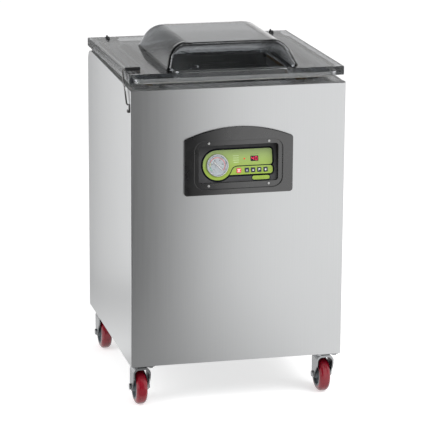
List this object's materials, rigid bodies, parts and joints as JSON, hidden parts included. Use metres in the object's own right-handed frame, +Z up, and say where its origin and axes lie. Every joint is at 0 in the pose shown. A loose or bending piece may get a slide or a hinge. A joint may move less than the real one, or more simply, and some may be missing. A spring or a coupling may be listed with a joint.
{
  "type": "vacuum sealer",
  "caption": "Floor-standing chamber vacuum sealer: steel cabinet on swivel casters, hinged clear domed lid with a side hook, sloping control panel with gauge and keys.",
  "frame": {"origin": "on the floor under the middle of the overall box", "axes": "+Z up, -Y the front with the control panel, +X the machine's right as seen from the front"},
  "size_m": [0.6184, 0.6622, 1.0258],
  "materials": {
    "stainless_panel": "satin vertical grain",
    "frame_steel": "mill finish",
    "chamber_steel": "bright",
    "zinc_steel": "bright zinc plate",
    "black_steel": "black",
    "clear_acrylic": "clear, slightly smoky",
    "silicone": "matt",
    "black_plastic": "fine texture",
    "fascia_plastic": "matt",
    "green_film": "printed film",
    "gauge_metal": "bright rim, pale dial",
    "gauge_glass": "clear",
    "needle_paint": "white",
    "lamp_red": "clear red",
    "display_dark": "dark red window",
    "stop_red": "satin",
    "key_navy": "satin",
    "board_green": "lacquer",
    "hub_grey": "satin",
    "tyre_red": "red polyurethane",
    "cast_alloy": "cast",
    "black_rubber": "matt",
    "core_iron": "laminated",
    "valve_brass": "machined",
    "bar_aluminium": "satin",
    "filler_white": "satin"
  },
  "bodies": {
    "cabinet": {"base_pan": "frame_steel", "frame_posts": "frame_steel", "front_panel": "stainless_panel", "left_side_panel": "stainless_panel", "right_side_panel": "stainless_panel", "rear_panel": "stainless_panel", "panel_screws": "zinc_steel", "cord_gland": "black_plastic", "caster_plates": "zinc_steel", "caster_bolts": "zinc_steel", "vacuum_chamber": "chamber_steel", "vacuum_port": "zinc_steel", "lift_cylinders": "bar_aluminium", "hinge_brackets": "frame_steel", "hinge_pins": "zinc_steel", "lid_springs": "black_steel", "hook_keeper": "black_steel", "control_bezel": "black_plastic", "control_fascia": "fascia_plastic", "control_overlay": "green_film", "gauge_case": "gauge_metal", "gauge_lens": "gauge_glass", "status_lamp": "lamp_red", "display_window": "display_dark", "control_board": "board_green", "vacuum_pump": "cast_alloy", "pump_motor": "cast_alloy", "vacuum_hose": "black_rubber", "transformer": "core_iron", "valve_block": "valve_brass"},
    "lid": {"lid": "clear_acrylic", "lid_gasket": "silicone", "lid_pressure_strips": "silicone", "hinge_leaves": "frame_steel", "hinge_bolts": "black_steel", "hook_sleeve": "black_steel"},
    "hook": {"hook_wire": "zinc_steel"},
    "needle": {"gauge_needle": "needle_paint"},
    "left_bar": {"left_seal_bar": "bar_aluminium", "left_lift_pins": "zinc_steel"},
    "right_bar": {"right_seal_bar": "bar_aluminium", "right_lift_pins": "zinc_steel"},
    "filler": {"filler_plate": "filler_white"},
    "stop_key": {"stop_key": "stop_red"},
    "key_1": {"key_1": "key_navy"},
    "key_2": {"key_2": "key_navy"},
    "key_3": {"key_3": "key_navy"},
    "key_4": {"key_4": "key_navy"},
    "swivel_fl": {"caster_fork_fl": "zinc_steel"},
    "wheel_fl": {"caster_hub_fl": "hub_grey", "caster_tyre_fl": "tyre_red"},
    "swivel_fr": {"caster_fork_fr": "zinc_steel"},
    "wheel_fr": {"caster_hub_fr": "hub_grey", "caster_tyre_fr": "tyre_red"},
    "swivel_rl": {"caster_fork_rl": "zinc_steel"},
    "wheel_rl": {"caster_hub_rl": "hub_grey", "caster_tyre_rl": "tyre_red"},
    "swivel_rr": {"caster_fork_rr": "zinc_steel"},
    "wheel_rr": {"caster_hub_rr": "hub_grey", "caster_tyre_rr": "tyre_red"}
  },
  "joints": [
    {"name": "lid_hinge", "type": "hinge", "parent": "cabinet", "child": "lid", "pos_m": [0.00425, 0.32195, 0.918], "axis": [-1, 0, 0], "range_deg": [-1, 58], "stiffness_Nm_per_rad": 12, "springref_deg": 108.86},
    {"name": "hook_swing", "type": "hinge", "parent": "lid", "child": "hook", "pos_m": [-0.30675, -0.24631, 0.96542], "axis": [1, 0, 0], "range_deg": [-2, 100]},
    {"name": "needle_turn", "type": "hinge", "parent": "cabinet", "child": "needle", "pos_m": [-0.05215, -0.31041, 0.69622], "axis": [0, -0.9744, 0.225], "range_deg": [0, 270]},
    {"name": "left_bar_lift", "type": "slide", "parent": "cabinet", "child": "left_bar", "axis": [0, 0, 1], "range_m": [0, 0.008]},
    {"name": "right_bar_lift", "type": "slide", "parent": "cabinet", "child": "right_bar", "axis": [0, 0, 1], "range_m": [0, 0.008]},
    {"name": "filler_lift", "type": "slide", "parent": "cabinet", "child": "filler", "axis": [0, 0, 1], "range_m": [0, 0.12]},
    {"name": "stop_key_press", "type": "slide", "parent": "cabinet", "child": "stop_key", "axis": [0, 0.9744, -0.225], "range_m": [0, 0.0009], "stiffness_N_per_m": 400},
    {"name": "key_1_press", "type": "slide", "parent": "cabinet", "child": "key_1", "axis": [0, 0.9744, -0.225], "range_m": [0, 0.0009], "stiffness_N_per_m": 400},
    {"name": "key_2_press", "type": "slide", "parent": "cabinet", "child": "key_2", "axis": [0, 0.9744, -0.225], "range_m": [0, 0.0009], "stiffness_N_per_m": 400},
    {"name": "key_3_press", "type": "slide", "parent": "cabinet", "child": "key_3", "axis": [0, 0.9744, -0.225], "range_m": [0, 0.0009], "stiffness_N_per_m": 400},
    {"name": "key_4_press", "type": "slide", "parent": "cabinet", "child": "key_4", "axis": [0, 0.9744, -0.225], "range_m": [0, 0.0009], "stiffness_N_per_m": 400},
    {"name": "swivel_turn_fl", "type": "hinge", "parent": "cabinet", "child": "swivel_fl", "pos_m": [-0.26375, -0.27305, 0.117], "axis": [0, 0, 1], "continuous": true},
    {"name": "wheel_spin_fl", "type": "hinge", "parent": "swivel_fl", "child": "wheel_fl", "pos_m": [-0.26375, -0.25905, 0.0508], "axis": [1, 0, 0], "continuous": true},
    {"name": "swivel_turn_fr", "type": "hinge", "parent": "cabinet", "child": "swivel_fr", "pos_m": [0.27225, -0.27305, 0.117], "axis": [0, 0, 1], "continuous": true},
    {"name": "wheel_spin_fr", "type": "hinge", "parent": "swivel_fr", "child": "wheel_fr", "pos_m": [0.27225, -0.25905, 0.0508], "axis": [1, 0, 0], "continuous": true},
    {"name": "swivel_turn_rl", "type": "hinge", "parent": "cabinet", "child": "swivel_rl", "pos_m": [-0.26375, 0.25095, 0.117], "axis": [0, 0, 1], "continuous": true},
    {"name": "wheel_spin_rl", "type": "hinge", "parent": "swivel_rl", "child": "wheel_rl", "pos_m": [-0.26375, 0.26495, 0.0508], "axis": [1, 0, 0], "continuous": true},
    {"name": "swivel_turn_rr", "type": "hinge", "parent": "cabinet", "child": "swivel_rr", "pos_m": [0.27225, 0.25095, 0.117], "axis": [0, 0, 1], "continuous": true},
    {"name": "wheel_spin_rr", "type": "hinge", "parent": "swivel_rr", "child": "wheel_rr", "pos_m": [0.27225, 0.26495, 0.0508], "axis": [1, 0, 0], "continuous": true}
  ],
  "couplings": [
    {"joint": "right_bar_lift", "follows": "left_bar_lift", "ratio": 1}
  ]
}
